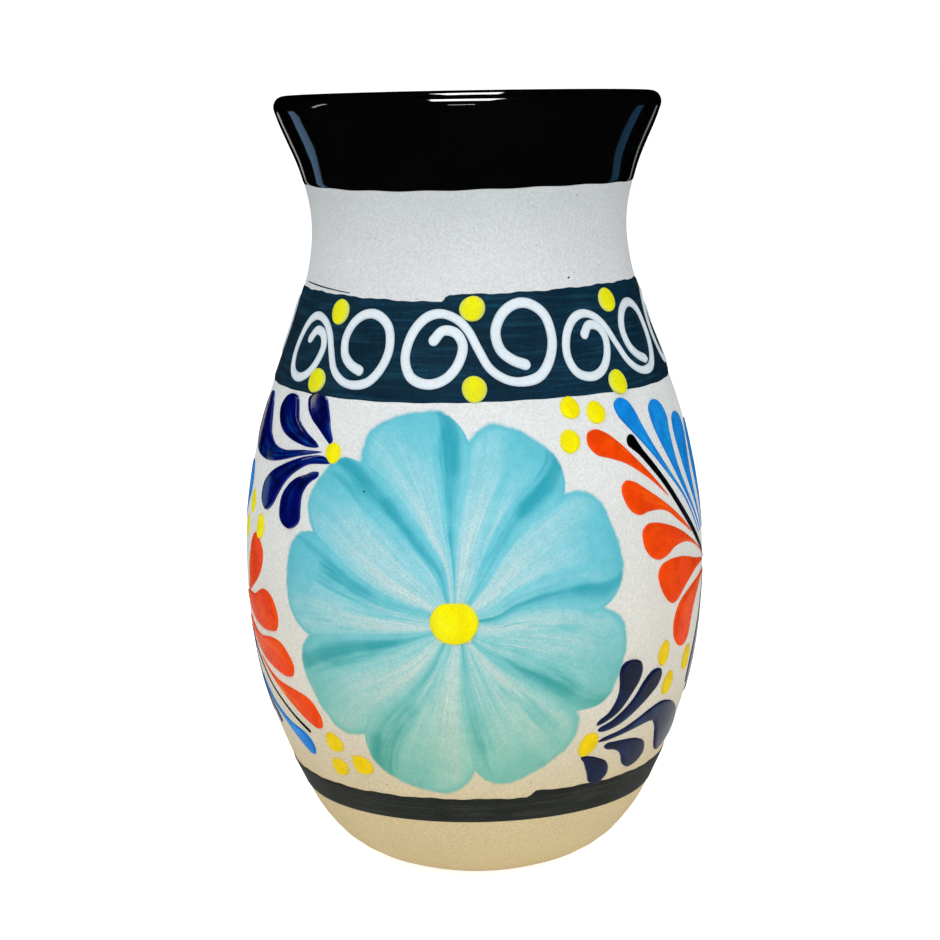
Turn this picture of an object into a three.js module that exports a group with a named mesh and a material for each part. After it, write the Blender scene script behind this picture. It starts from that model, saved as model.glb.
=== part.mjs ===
// A hand-painted talavera vase: a thrown earthenware vessel, the glaze and slip coats fired onto
// it, and the raised enamel of its two flowers and its border of scrolls.
// Millimetres and degrees, +Z up. The vase stands on z = 0 with its axis on the origin, and
// angles go round the axis from -Y, the side of the first flower, towards +X.
import * as THREE from "three";
import { mergeVertices } from "three/addons/utils/BufferGeometryUtils.js";

// Driving dimensions.
const HEIGHT = 200; // over the glazed lip
const WALL = 4.5; // thrown wall, which the round lip takes its thickness from
const FLOOR = 7; // clay under the inside floor
const BOWL_DEPTH = 24; // height over which the inside floor curves up into the wall
const COAT = 0.4; // thickness of a coat of glaze or slip
const GAP = 0.3; // clearance between a piece and what it lies on
const FACETS = 36; // sides of every turned piece
const ROW = 12; // the wall has a ring of vertices at every multiple of this height

// Height and radius of the bare clay's outside, where its curve changes.
const LIP_CENTRE = HEIGHT - COAT - GAP - WALL / 2;
const WALL_STATIONS = [
  [0, 24],
  [3, 31.2],
  [8, 37.9],
  [16, 43.5],
  [28, 49.3],
  [45, 55.6],
  [65, 59.1],
  [90, 59.4],
  [115, 54.9],
  [135, 48.2],
  [152, 42.3],
  [165, 40.3],
  [175, 41.5],
  [185, 44.6],
  [193, 47.8],
  [LIP_CENTRE, 49.2],
];
const FOOT_RINGS = [1.2, 3, 6]; // extra rings where the foot turns under
const LIP_STEPS = 6; // facets over the round lip
const BOWL_STEPS = 5; // facets from the inside wall down to the middle of the inside floor
const CLOSEST_RINGS = 1;
const SAME_POINT = 1e-4; // vertices of a turned piece nearer than this are one

// Where the coats begin and end, as heights on the wall.
const RIM_GLAZE_LOW = 177;
const THROAT = 160; // the rim's black glaze ends here inside, and the inner glaze begins
const UPPER_BAND = [127, 151.5];
const LOWER_BAND = [20.5, 28];

// The flowers: nine petals round an eye, painted on the belly on opposite sides.
const FLOWER_ANGLES = { front: -5, back: 175 };
const FLOWER_HEIGHT = 75.4;
const FLOWER_GIRTH = 59; // wall radius that turns a distance along the girth into an angle
const EYE_RADIUS = 5.4;
const EYE_RISE = 1.2;
const ENAMEL_FALL = 0.6; // share of its height that a dab loses from its middle to its edge
const PETAL_START = 6.4; // petals begin this far from the flower's middle
const PETAL_SPACE = 0.5; // bare line between two petals
const PETAL_EDGE = 0.4;
const PETAL_RISE = 0.4; // extra height along a petal's middle
const PETAL_GRID = { columns: 4, rows: 5 };
// Each petal clockwise from the top left one: the clock angle of its first edge, the distance
// from the flower's middle to the notch on that edge, and the reach of its round end.
const PETALS = [
  [-34, 45, 50.6],
  [5, 43.4, 50],
  [43, 41.5, 47.5],
  [88, 38.2, 45.3],
  [127.5, 39.8, 45.5],
  [173, 39.7, 47.4],
  [219, 40.6, 46],
  [261, 41, 47.8],
  [297, 43.2, 46.5],
];

// The border: a row of S scrolls on the upper band, each with a dot above and below its middle.
const SCROLL_HEIGHT = 139.5;
const SCROLL_GIRTH = 47;
const SCROLL_STROKE = 2.4; // width of the piped line
const SCROLL_EDGE = 0.4;
const SCROLL_RISE = 0.6;
const SCROLL_GRID = { columns: 2, rows: 32 };
// Each scroll's angle round the vase, its size, and how far its left and its right loop sit below
// the row: the painter closed the row by drawing the far ones smaller.
const SCROLLS = [
  [0.5, 1, 0, 0],
  [47.5, 0.93, 0, 2.3],
  [97.5, 1.05, 0, 0],
  [142, 0.76, 0, 0],
  [179, 0.76, 0, 0],
  [216.5, 0.76, 0, 0],
  [254, 0.76, 0, 0],
  [312.5, 0.93, 1.3, 1.9],
];
// The S from the curled end in its left loop to the one in its right loop.
const SCROLL_PATH = [
  [-9.6, 1.8],
  [-7.2, 4],
  [-3.6, 2.9],
  [-2.7, -1.8],
  [-6.2, -7],
  [-10.6, -8.4],
  [-14.8, -6.5],
  [-16.4, -2],
  [-15.2, 3.2],
  [-12.2, 6.8],
  [-8.2, 8],
  [-4.2, 6.8],
  [-1.2, 4.1],
  [1.2, -0.3],
  [3.8, -4.8],
  [7.4, -7.4],
  [11.2, -8.1],
  [15.6, -6.9],
  [18.8, -3.1],
  [20, 1.8],
  [18.8, 6.8],
  [15.2, 9.8],
  [11, 9.8],
  [7.4, 7.6],
  [5.6, 3.6],
  [6.4, -0.6],
  [9, -3],
  [12.2, -4.2],
];
const DOTS = { upper: [0.4, 9.2], lower: [-0.4, -9.3] };
const DOT_RADIUS = 2.5;
const DOT_RISE = 0.9;
const DAB_GRID = { columns: 3, rows: 3 };

const clay = new THREE.MeshStandardMaterial({ color: 0xddd6cc, roughness: 0.85, metalness: 0 });
const blackGlaze = new THREE.MeshStandardMaterial({ color: 0x0b0b0d, roughness: 0.08, metalness: 0 });
const innerGlaze = new THREE.MeshStandardMaterial({ color: 0x2a211c, roughness: 0.2, metalness: 0 });
const slateSlip = new THREE.MeshStandardMaterial({ color: 0x1f3440, roughness: 0.7, metalness: 0 });
const charcoalSlip = new THREE.MeshStandardMaterial({ color: 0x2b2e2b, roughness: 0.5, metalness: 0 });
const turquoise = new THREE.MeshStandardMaterial({ color: 0x7fc4c9, roughness: 0.35, metalness: 0 });
const yellow = new THREE.MeshStandardMaterial({ color: 0xf4e60f, roughness: 0.25, metalness: 0 });
const white = new THREE.MeshStandardMaterial({ color: 0xe9eef2, roughness: 0.35, metalness: 0 });

// Radius of the bare clay at a height: a smooth curve through the wall's stations.
const wallCurve = new THREE.CubicInterpolant(
  WALL_STATIONS.map(([z]) => z),
  WALL_STATIONS.map(([, radius]) => radius),
  1,
  new Float32Array(1),
);

function wallRadius(z) {
  return wallCurve.evaluate(z)[0];
}

// Heights of the rings from low to high: both ends, the rows between them and the foot's rings.
function wallHeights(low, high) {
  const rows = Array.from({ length: Math.ceil(HEIGHT / ROW) }, (_, i) => i * ROW);
  const clear = (z) => z > low + CLOSEST_RINGS && z < high - CLOSEST_RINGS;
  const between = [...FOOT_RINGS, ...rows].filter(clear);
  return [low, ...between.sort((a, b) => a - b), high];
}

// Stretches of the clay's section, each a list of points (radius, height), in the order
// up the outside, over the lip, down the inside and in to the axis.
function outsideWall(low, high) {
  return wallHeights(low, high).map((z) => new THREE.Vector2(wallRadius(z), z));
}

function lip() {
  const middle = wallRadius(LIP_CENTRE) - WALL / 2;
  return Array.from({ length: LIP_STEPS - 1 }, (_, i) => {
    const turn = (Math.PI * (i + 1)) / LIP_STEPS;
    const radius = middle + (WALL / 2) * Math.cos(turn);
    return new THREE.Vector2(radius, LIP_CENTRE + (WALL / 2) * Math.sin(turn));
  });
}

function insideWall(high, low) {
  return wallHeights(low, high)
    .reverse()
    .map((z) => new THREE.Vector2(wallRadius(z) - WALL, z));
}

function insideFloor() {
  const top = FLOOR + BOWL_DEPTH;
  const reach = wallRadius(top) - WALL;
  return Array.from({ length: BOWL_STEPS }, (_, i) => {
    const turn = (Math.PI / 2) * ((i + 1) / BOWL_STEPS);
    const radius = i === BOWL_STEPS - 1 ? 0 : reach * Math.cos(turn);
    return new THREE.Vector2(radius, top - BOWL_DEPTH * Math.sin(turn));
  });
}

// A section moved out from the clay by a distance, square to its own line.
function offset(section, distance) {
  return section.map((point, i) => {
    const before = section[Math.max(i - 1, 0)];
    const after = section[Math.min(i + 1, section.length - 1)];
    const along = new THREE.Vector2().subVectors(after, before).normalize();
    const moved = new THREE.Vector2(point.x + along.y * distance, point.y - along.x * distance);
    if (point.x === 0) moved.set(0, point.y + distance);
    return moved;
  });
}

// A body of revolution about Z from its section, which ends on the axis or closes on itself.
function turned(name, section, material) {
  const shape = new THREE.LatheGeometry(section, FACETS);
  shape.rotateX(Math.PI / 2);
  shape.deleteAttribute("normal");
  shape.deleteAttribute("uv");
  return named(name, mergeVertices(shape, SAME_POINT), material);
}

// A coat of glaze or slip over a stretch of the clay's section.
function coat(name, section, material) {
  const underside = offset(section, GAP);
  const surface = offset(section, GAP + COAT);
  underside.reverse();
  const reachesAxis = section[section.length - 1].x === 0;
  if (reachesAxis) return turned(name, [...underside, ...surface], material);
  return turned(name, [...surface, ...underside, surface[0].clone()], material);
}

function named(name, geometry, material) {
  geometry.computeVertexNormals();
  const mesh = new THREE.Mesh(geometry, material);
  mesh.name = name;
  return mesh;
}

// A raised piece of enamel: a grid of points place(u, v), u and v from 0 to 1, in millimetres
// along the girth and up, with a flat underside and a top at the height rise(u, v) over it. It is
// wrapped onto the wall round the spot that seat names.
function enamel(name, seat, grid, place, rise, material) {
  const positions = [];
  for (const top of [0, 1]) {
    for (let row = 0; row <= grid.rows; row++) {
      for (let column = 0; column <= grid.columns; column++) {
        const u = column / grid.columns;
        const v = row / grid.rows;
        const [x, y] = place(u, v);
        positions.push(...onWall(seat, x, y, seat.lift + top * rise(u, v)));
      }
    }
  }
  const geometry = new THREE.BufferGeometry();
  geometry.setAttribute("position", new THREE.Float32BufferAttribute(positions, 3));
  geometry.setIndex(slabFaces(grid));
  return named(name, geometry, material);
}

// The point on the wall x along the girth and y up from a seat, raised from the clay by lift.
function onWall(seat, x, y, lift) {
  const angle = THREE.MathUtils.degToRad(seat.angle) + x / seat.girth;
  const z = seat.height + y;
  const radius = wallRadius(z) + lift;
  return [radius * Math.sin(angle), -radius * Math.cos(angle), z];
}

// Triangles of a closed slab whose underside and top are two equal grids of vertices.
function slabFaces({ columns, rows }) {
  const across = columns + 1;
  const layer = across * (rows + 1);
  const faces = [];
  const quad = (a, b, c, d) => faces.push(a, b, c, a, c, d);
  for (let row = 0; row < rows; row++) {
    for (let column = 0; column < columns; column++) {
      const a = row * across + column;
      quad(a, a + across, a + across + 1, a + 1);
      quad(layer + a, layer + a + 1, layer + a + across + 1, layer + a + across);
    }
  }
  const border = [];
  for (let column = 0; column < columns; column++) border.push(column);
  for (let row = 0; row < rows; row++) border.push(row * across + columns);
  for (let column = columns; column > 0; column--) border.push(rows * across + column);
  for (let row = rows; row > 0; row--) border.push(row * across);
  border.forEach((a, i) => {
    const b = border[(i + 1) % border.length];
    quad(a, b, layer + b, layer + a);
  });
  return faces;
}

// A petal is a sector round the flower's middle whose outer end swells between two notches.
function petal(name, seat, index) {
  const [firstEdge, firstNotch, reach] = PETALS[index];
  const [nextEdge, nextNotch] = PETALS[(index + 1) % PETALS.length];
  const span = THREE.MathUtils.euclideanModulo(nextEdge - firstEdge, 360);
  const swell = reach - (firstNotch + nextNotch) / 2;
  const place = (u, v) => {
    const side = 2 * u - 1;
    const notch = THREE.MathUtils.lerp(firstNotch, nextNotch, u);
    const end = notch + swell * (1 - side ** 4);
    const distance = THREE.MathUtils.lerp(PETAL_START, end, v);
    const clock = THREE.MathUtils.degToRad(firstEdge + span * u) - (side * PETAL_SPACE) / 2 / distance;
    return [distance * Math.sin(clock), distance * Math.cos(clock)];
  };
  const rise = (u) => PETAL_EDGE + PETAL_RISE * (1 - (2 * u - 1) ** 2);
  return enamel(name, seat, PETAL_GRID, place, rise, turquoise);
}

// A round dab: a square grid pressed into a disc, highest in its middle.
function dab(name, seat, radius, height, material) {
  const place = (u, v) => {
    const a = 2 * u - 1;
    const b = 2 * v - 1;
    return [radius * a * Math.sqrt(1 - (b * b) / 2), radius * b * Math.sqrt(1 - (a * a) / 2)];
  };
  const rise = (u, v) => {
    const [x, y] = place(u, v);
    return height * (1 - (ENAMEL_FALL * (x * x + y * y)) / radius ** 2);
  };
  return enamel(name, seat, DAB_GRID, place, rise, material);
}

// A piped line along the S path.
function scroll(name, seat, size, dropLeft, dropRight) {
  const points = SCROLL_PATH.map(([x, y], i) => {
    const drop = THREE.MathUtils.lerp(dropLeft, dropRight, i / (SCROLL_PATH.length - 1));
    return new THREE.Vector2(x * size, y * size - drop);
  });
  const path = new THREE.SplineCurve(points);
  const place = (u, v) => {
    const middle = path.getPointAt(v);
    const along = path.getTangentAt(v);
    const aside = (u - 0.5) * SCROLL_STROKE;
    return [middle.x + along.y * aside, middle.y - along.x * aside];
  };
  const rise = (u) => SCROLL_EDGE + SCROLL_RISE * (1 - (2 * u - 1) ** 2);
  return enamel(name, seat, SCROLL_GRID, place, rise, white);
}

function vessel() {
  const section = [
    new THREE.Vector2(0, 0),
    ...outsideWall(0, LIP_CENTRE),
    ...lip(),
    ...insideWall(LIP_CENTRE, FLOOR + BOWL_DEPTH),
    ...insideFloor(),
  ];
  return turned("clay_body", section, clay);
}

function rimGlaze() {
  const section = [...outsideWall(RIM_GLAZE_LOW, LIP_CENTRE), ...lip(), ...insideWall(LIP_CENTRE, THROAT)];
  return coat("rim_glaze", section, blackGlaze);
}

function linerGlaze() {
  const section = [...insideWall(THROAT - GAP, FLOOR + BOWL_DEPTH), ...insideFloor()];
  return coat("inner_glaze", section, innerGlaze);
}

function flower(side) {
  const seat = {
    angle: FLOWER_ANGLES[side],
    height: FLOWER_HEIGHT,
    girth: FLOWER_GIRTH,
    lift: GAP,
  };
  const petals = PETALS.map((_, i) => petal(`${side}_petal_${i + 1}`, seat, i));
  return [dab(`${side}_flower_eye`, seat, EYE_RADIUS, EYE_RISE, yellow), ...petals];
}

// The border lies on the upper band's coat, so it is raised by that coat and a second gap.
function border() {
  return SCROLLS.flatMap(([angle, size, dropLeft, dropRight], i) => {
    const seat = { angle, height: SCROLL_HEIGHT, girth: SCROLL_GIRTH, lift: GAP + COAT + GAP };
    const dots = Object.entries(DOTS).map(([place, [x, y]]) => {
      const spot = { ...seat, angle: angle + THREE.MathUtils.radToDeg(x / SCROLL_GIRTH) };
      spot.height += y;
      return dab(`scroll_dot_${place}_${i + 1}`, spot, DOT_RADIUS, DOT_RISE, yellow);
    });
    return [scroll(`scroll_${i + 1}`, seat, size, dropLeft, dropRight), ...dots];
  });
}

const vase = new THREE.Group();
vase.add(vessel());
vase.add(rimGlaze());
vase.add(linerGlaze());
vase.add(coat("upper_band", outsideWall(...UPPER_BAND), slateSlip));
vase.add(coat("lower_band", outsideWall(...LOWER_BAND), charcoalSlip));
vase.add(...flower("front"), ...flower("back"));
vase.add(...border());

export default vase;
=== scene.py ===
"""The looks of a hand-painted talavera vase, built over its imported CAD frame.

Lengths are millimetres and angles are degrees round the vase's axis, from -Y (the first flower)
towards +X, until place() turns them into the frame's metres.
"""

import math

import bmesh
import bpy
import numpy as np
from mathutils import Matrix, Vector


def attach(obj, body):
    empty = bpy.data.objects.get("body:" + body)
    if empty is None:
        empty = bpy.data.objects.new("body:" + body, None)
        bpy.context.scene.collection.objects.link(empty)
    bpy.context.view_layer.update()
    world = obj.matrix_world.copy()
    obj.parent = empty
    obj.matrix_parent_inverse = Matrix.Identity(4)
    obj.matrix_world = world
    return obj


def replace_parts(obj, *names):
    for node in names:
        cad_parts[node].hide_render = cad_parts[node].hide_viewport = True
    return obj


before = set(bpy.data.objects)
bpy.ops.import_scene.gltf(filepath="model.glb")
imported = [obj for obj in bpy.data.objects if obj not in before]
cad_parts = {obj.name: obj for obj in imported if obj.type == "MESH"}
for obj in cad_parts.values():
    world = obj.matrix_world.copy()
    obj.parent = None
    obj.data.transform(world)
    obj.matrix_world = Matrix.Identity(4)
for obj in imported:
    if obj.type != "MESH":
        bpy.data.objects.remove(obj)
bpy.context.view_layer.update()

WALL = 4.5  # thickness of the thrown wall
LIP = 195.5  # height where the wall ends and the round lip begins
BOWL_TOP = 31.0  # height where the inside floor begins to curve up into the wall
BOWL_DEPTH = 24.0
THROAT = 160.0  # the rim's glaze ends here inside
FOOT_RINGS = (0, 8, 16, 21, 23.2)  # radii of the rings across the flat foot
RIM_GLAZE_LOW = 176.8  # its lower edge outside
RIM_GLAZE_THICK = 0.5
INNER_GLAZE_THICK = 0.43
GLAZE_EDGE = 0.03  # thickness that a glaze or an enamel keeps at its very edge
GLAZE_ROLL = 0.1  # and the rim glaze's swelling just in from it
SLIP_EDGE = 0.02  # and a slip or a petal
BAND_THICK = 0.25
# A band's bottom, and its top where the stroke ended and where it began.
UPPER_BAND = (127.1, 150.6, 152.4)
LOWER_BAND = (20.6, 27.7, 29.4)
SINK = 0.05  # how deep a painted piece is bedded into what lies under it
SIDES = {"front": 0, "back": 180}  # the whole decoration is painted twice, half a turn apart

COLUMNS = 288  # vertices round a turned piece
ROUND = np.arange(COLUMNS) * 360 / COLUMNS
ROUND_FINE = np.arange(COLUMNS * 2) * 180 / COLUMNS

# The flower, in millimetres along the girth and up from its middle.
FLOWER_ANGLE = -5.1
FLOWER_HEIGHT = 75.4
FLOWER_GIRTH = 59.0
EYE = [(-3.2, 4.5), (0.2, 4.9), (3.4, 4.6), (5.9, 0.5), (3.6, -4.3), (-1, -5.3), (-4.4, -3.6),
       (-5.8, 0.7)]
EYE_RISE = 1.2
EYE_SHOULDER = 3.2  # how far in from its edge the eye rounds over
# The line between each petal and the one before it, from the eye outwards, clockwise from the
# left side of the petal at the top.
PETAL_LINES = [
    [(-0.5, 5), (-2, 13.7), (-6.3, 20.5), (-11, 27.2), (-16.5, 32.8), (-21.5, 36.3), (-25.6, 37.2)],
    [(0.5, 5), (0.7, 13.8), (1.1, 20.1), (2.4, 27.6), (4.2, 35.5), (4.6, 41), (3.8, 43.6)],
    [(3.7, 4), (8.2, 9.8), (12.8, 16.7), (18.4, 22.4), (23.5, 25.5), (27, 27.6), (28.4, 30.3)],
    [(5, -0.4), (10.6, -0.2), (14.6, 1.4), (20.9, 2.4), (27.7, 2), (34, 0.3), (38.2, 1.4)],
    [(4, -5), (9.6, -10.5), (14.4, -14.2), (19.8, -18.2), (24.4, -21.8), (28.6, -24.2),
     (31.8, -24)],
    [(1.5, -5), (1.3, -12), (1.2, -19.6), (1.8, -27.2), (2.9, -33.8), (4.5, -39.6)],
    [(-3, -5), (-7.3, -11.7), (-12, -16.6), (-17.2, -20.4), (-21.8, -23.6), (-24.6, -27.2),
     (-25.8, -31)],
    [(-5, -2), (-11.2, -2.8), (-18.1, -3.4), (-25.3, -3.9), (-33, -5), (-40.2, -6.6)],
    [(-5, 2.4), (-11, 4.3), (-17.7, 7), (-24.8, 11.2), (-31.2, 15.8), (-36, 18.8), (-38.6, 20)],
]
PETAL_SWELL = [9.6, 8.4, 9.4, 9.6, 9.2, 9.8, 8.8, 8.6, 7.2]  # how far a petal's end stands out
PETAL_FILM = 0.05  # the wash's thickness near a petal's edge
PETAL_CROWN = 0.16  # and how much thicker it is in the middle
PETAL_FAR = 9.0  # stands for any distance far from a petal's outer end
PETAL_ROWS = 44
PETAL_COLUMNS = 25

# Brush strokes of enamel: what they are called, the number of the first, their enamel, and the
# outline of each as (angle, height). An outline has the thin end first, then one side, the round
# end in the middle of the list, and the other side back.
STROKES = [
    ("left_leaf", 1, "navy_enamel", [
        [(-39.4, 116.1), (-40.3, 116.6), (-44.2, 119.3), (-47.7, 121.4), (-50.2, 123.8),
         (-50.9, 126.2), (-47.3, 127.5), (-43.4, 126.6), (-41.9, 124.4), (-40.7, 122),
         (-39.9, 119.7), (-38.6, 117)],
        [(-43.2, 115.2), (-45.9, 114.7), (-55.9, 115.9), (-60.9, 117.5), (-63.8, 119.8),
         (-65, 122.6), (-63.2, 125.1), (-59.4, 126.4), (-56, 125.8), (-54.4, 123.5), (-53.2, 121.2),
         (-51, 119.5), (-48, 117.9), (-43.8, 115.9)],
        [(-41.7, 114.1), (-49.8, 112.3), (-61.5, 109.6), (-70.2, 109.2), (-78.2, 110.8), (-82, 114),
         (-81.2, 120), (-79.2, 123.6), (-76.3, 125.2), (-73.4, 123.9), (-70.8, 121), (-67.4, 116.2),
         (-64, 114), (-60.8, 113.2), (-57, 113), (-48.7, 113.9)],
        [(-38.3, 111.7), (-40.6, 113.1), (-46.5, 112.7), (-51.3, 111.4), (-56.8, 109.4),
         (-62.4, 106.8), (-65.9, 103.4), (-66, 99.5), (-62.6, 97.3), (-59.4, 98.9), (-57, 102),
         (-55.1, 104.5), (-52.5, 107), (-49, 109.2), (-45.6, 110.7), (-38.9, 111.5)],
        [(-41.7, 109.1), (-43.4, 109.3), (-46.7, 108.1), (-50.1, 106.9), (-53.1, 104.7),
         (-55.3, 101.5), (-54.9, 96.2), (-50.6, 94.4), (-47, 96.6), (-46.9, 100.3), (-46.8, 102.9),
         (-45.8, 105), (-44, 106.8), (-41.8, 108.2)],
    ]),
    ("right_leaf", 1, "ink_enamel", [
        [(31.4, 45.9), (31.6, 46.8), (34.8, 49), (36.9, 53), (37, 56), (36.5, 59), (37.3, 61),
         (40.4, 61.7), (43.6, 60.6), (44.5, 58.4), (44, 56), (42, 53), (37.8, 48.3), (33.1, 46.1)],
        [(32, 44.4), (32.4, 45), (36.1, 46.4), (41.2, 49.8), (43.4, 52.1), (45.2, 54.6),
         (48.4, 57.1), (51.8, 57), (52.9, 55.4), (51.9, 52.7), (49.2, 50.6), (46.2, 48.6),
         (39.1, 44.8), (33.3, 43.8)],
        [(32.8, 41.1), (34, 41.9), (40.1, 43.1), (46.6, 45.2), (50.6, 46.5), (56.2, 47.2),
         (66.5, 43.8), (71.7, 39.4), (72.8, 35.6), (67, 32.7), (62.4, 32.1), (60, 33.8),
         (57.2, 37.6), (55.8, 40), (54.4, 41.6), (53.5, 42.3), (51.8, 42.7), (48.8, 42.6),
         (40.9, 41.6), (34.4, 40.9)],
        [(35.2, 39.4), (36.1, 40.1), (38.6, 40.1), (42.1, 39.9), (47.8, 39), (52.6, 36.6),
         (53.6, 33.9), (51.4, 31.8), (46.8, 31.3), (44.8, 32.3), (43.7, 33.5), (43.1, 34.6),
         (42.5, 35.5), (41.5, 36.5), (39.1, 37.7), (36.3, 38.4)],
        [(28.4, 37.7), (31.9, 37.2), (34.4, 36.3), (37.4, 34.8), (38.9, 32.8), (39, 30.9),
         (37.5, 29.5), (34.8, 29), (32.6, 30), (31.9, 31.5), (31.2, 32.9), (30.3, 34.5), (29.4, 36),
         (28.4, 37.1)],
    ]),
    ("right_flame", 1, "orange_enamel", [
        [(56.1, 100), (51, 105.4), (44, 112), (39.9, 115.6), (36.1, 118.2), (33, 119.2),
         (30.6, 118.4), (30.2, 115.9), (32.3, 113.3), (36.2, 112), (41.2, 110.2), (49.6, 105)],
        [(67.8, 88.8), (62.1, 93.2), (54.6, 98.5), (48.4, 102.4), (45.7, 104.1), (43, 105.6),
         (40.2, 106.1), (38.6, 104.6), (38.9, 101.8), (40.9, 98.6), (43.9, 97.3), (46.6, 97.7),
         (53.3, 97), (60.7, 92.7)],
        [(80.4, 80.1), (65.4, 88.2), (60.4, 90.8), (56.3, 92.5), (52.2, 93.9), (48.9, 94.7),
         (45.6, 94.7), (43.9, 93.2), (44.1, 89.8), (46.2, 86.7), (49.6, 85.3), (53, 85.8),
         (56.6, 87.2), (64.4, 87)],
        [(79.5, 79.3), (69.7, 81.7), (62.2, 83.7), (57.9, 84.4), (53.6, 84.5), (50.2, 83.7),
         (48.8, 81.6), (49.8, 78.4), (52.3, 74.9), (55.6, 73), (58.4, 73.9), (61, 75.6),
         (64.4, 77.2), (69.6, 78.8)],
        [(80, 76.6), (71.3, 76.1), (64.4, 74.8), (59, 72.4), (56.6, 68.6), (57, 64), (61.3, 60.6),
         (65.4, 61.8), (67, 65.6), (68.6, 69), (71.6, 72.4), (75, 75)],
    ]),
    ("left_flame", 1, "orange_enamel", [
        [(-78, 73.5), (-76.4, 76.7), (-75.8, 79.9), (-73.8, 84.4), (-71.6, 88.5), (-69.2, 90.3),
         (-65.8, 89.3), (-63.2, 86.3), (-64, 82.4), (-68.5, 77.8)],
        [(-80, 72.8), (-69.6, 74.3), (-63.4, 76.9), (-59.4, 76.1), (-57, 73.4), (-56.2, 70),
         (-57.6, 67.3), (-60.5, 66.5), (-64.8, 66.1), (-70.2, 66.8), (-74.6, 68.5), (-79, 71.2)],
        [(-80, 66.5), (-69.1, 63.7), (-60.8, 64.8), (-56, 64.3), (-53.2, 62), (-51.5, 59),
         (-52.4, 56.5), (-55.2, 55.6), (-58.9, 55.9), (-63.7, 56.8), (-69.5, 58.6), (-78, 64)],
        [(-72, 57.5), (-62.4, 53.8), (-51.9, 52.5), (-47.4, 51.4), (-44.9, 49), (-43.9, 46),
         (-44.7, 44), (-46.6, 43.5), (-49, 44.3), (-52.3, 46), (-56.1, 48.2), (-63.6, 52.6)],
    ]),
    ("right_quill", 1, "blue_enamel", [
        [(74.5, 87), (64.2, 98.8), (56.8, 106.2), (50.1, 113), (44.3, 118.7), (41.8, 121.5),
         (41.2, 124.2), (43.6, 125.6), (46.9, 124.4), (48.7, 121.9), (50.1, 118.7), (53.9, 112.3),
         (58.8, 105.9), (65.2, 98.8)],
        [(77, 87), (65.8, 99.6), (60.2, 108), (56.2, 115), (55, 119), (55.3, 122), (58.6, 123.5),
         (62.4, 122.1), (64, 119), (63.3, 115), (63.9, 108), (67.6, 99.6)],
        [(80, 87), (71.6, 98), (68.4, 105), (66.6, 112), (66.5, 115), (67.6, 117.8), (71.5, 118.9),
         (75.8, 117.2), (76.9, 114), (75.8, 110.6), (73.8, 104), (74.6, 97)],
        [(84, 86.5), (79, 97), (77.6, 104), (78.6, 110), (80.6, 114), (84.4, 115.4), (88, 113.2),
         (88.4, 108.6), (85.6, 102), (83.4, 97)],
        [(88, 85), (86.2, 92), (88, 98), (92, 103.6), (96.4, 106.8), (100, 106.4), (102.6, 103.6),
         (102.4, 99.6), (98.4, 95.4), (92, 90)],
    ]),
    ("left_quill", 1, "blue_enamel", [
        [(-76, 51.5), (-68.6, 45.8), (-60, 42), (-54.5, 40.9), (-51.7, 39), (-51.2, 36.6),
         (-52.1, 35.1), (-53.7, 34.8), (-56.1, 36), (-59.8, 38.6), (-64, 41.6), (-71.5, 46.4)],
    ]),
    ("left_quill", 2, "ink_enamel", [
        [(-81, 54), (-77.4, 49.2), (-73.2, 45), (-69.8, 42.2), (-68.8, 40.4), (-70.2, 39.4),
         (-72.8, 40.2), (-76, 43.4), (-79, 48), (-82, 53.4)],
        [(-84.6, 63), (-83, 54), (-81, 47), (-80.2, 42.4), (-82.6, 39), (-86.6, 40), (-88.4, 44),
         (-88, 49), (-87, 56), (-85.8, 63)],
        [(-91, 68), (-91.6, 58), (-92, 51), (-93.4, 45), (-97, 42.6), (-100.4, 44.6), (-101, 49),
         (-98.6, 55), (-95.4, 61.5), (-92.4, 68)],
        [(-95, 76), (-99, 70), (-102.4, 64.6), (-105.6, 59), (-107.6, 53), (-106.6, 48),
         (-103.4, 46.8), (-100.4, 50.4), (-99.4, 56), (-97.8, 63), (-96, 69), (-94, 75)],
    ]),
]
# Fine black lines with a round head: the middle line from the thin end, and the stroke's widths.
STAMENS = {
    "right_stamen": (
        [(82, 79.4), (72.3, 86.5), (62.7, 95.3), (54.5, 104.7), (47.6, 112.1), (44.7, 115.1)],
        [1, 1.9, 1.9, 1.8, 2, 3.4]),
    "left_stamen": (
        [(-82, 63), (-74.3, 56.9), (-66.2, 50.6), (-61.2, 47.6), (-56.3, 44.6), (-50.9, 41.7)],
        [0.5, 0.4, 0.45, 0.5, 0.6, 0.9]),
}
# Yellow dabs: angle, height, width along the girth, height of the dab, tilt.
DABS = {
    "left_heart": (-37.8, 114.2, 5, 4.8, 0),
    "right_heart": (29.8, 41, 5.6, 6.4, -35),
    "dab_1": (26.7, 124.7, 5.2, 5.4, 0),
    "dab_2": (34.5, 123, 5.4, 5.6, 0),
    "dab_3": (25.2, 117, 5.2, 5.8, 0),
    "dab_4": (-41.4, 40.6, 5.8, 5.2, -30),
    "dab_5": (-33.2, 35.6, 6.2, 5.2, -30),
    "dab_6": (-42, 33.6, 5.4, 4.8, -30),
    "dab_7": (52.8, 60.7, 4.8, 6.6, -20),
    "dab_8": (67, 56.2, 4.8, 6.8, -20),
    "dab_9": (57, 51.9, 4.8, 6.6, -25),
    "dab_10": (-73.4, 97.6, 4.8, 6, 0),
    "dab_11": (-65.3, 92.6, 4.6, 6.6, 0),
    "dab_12": (-78, 90.6, 4.6, 6, 0),
}

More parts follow.
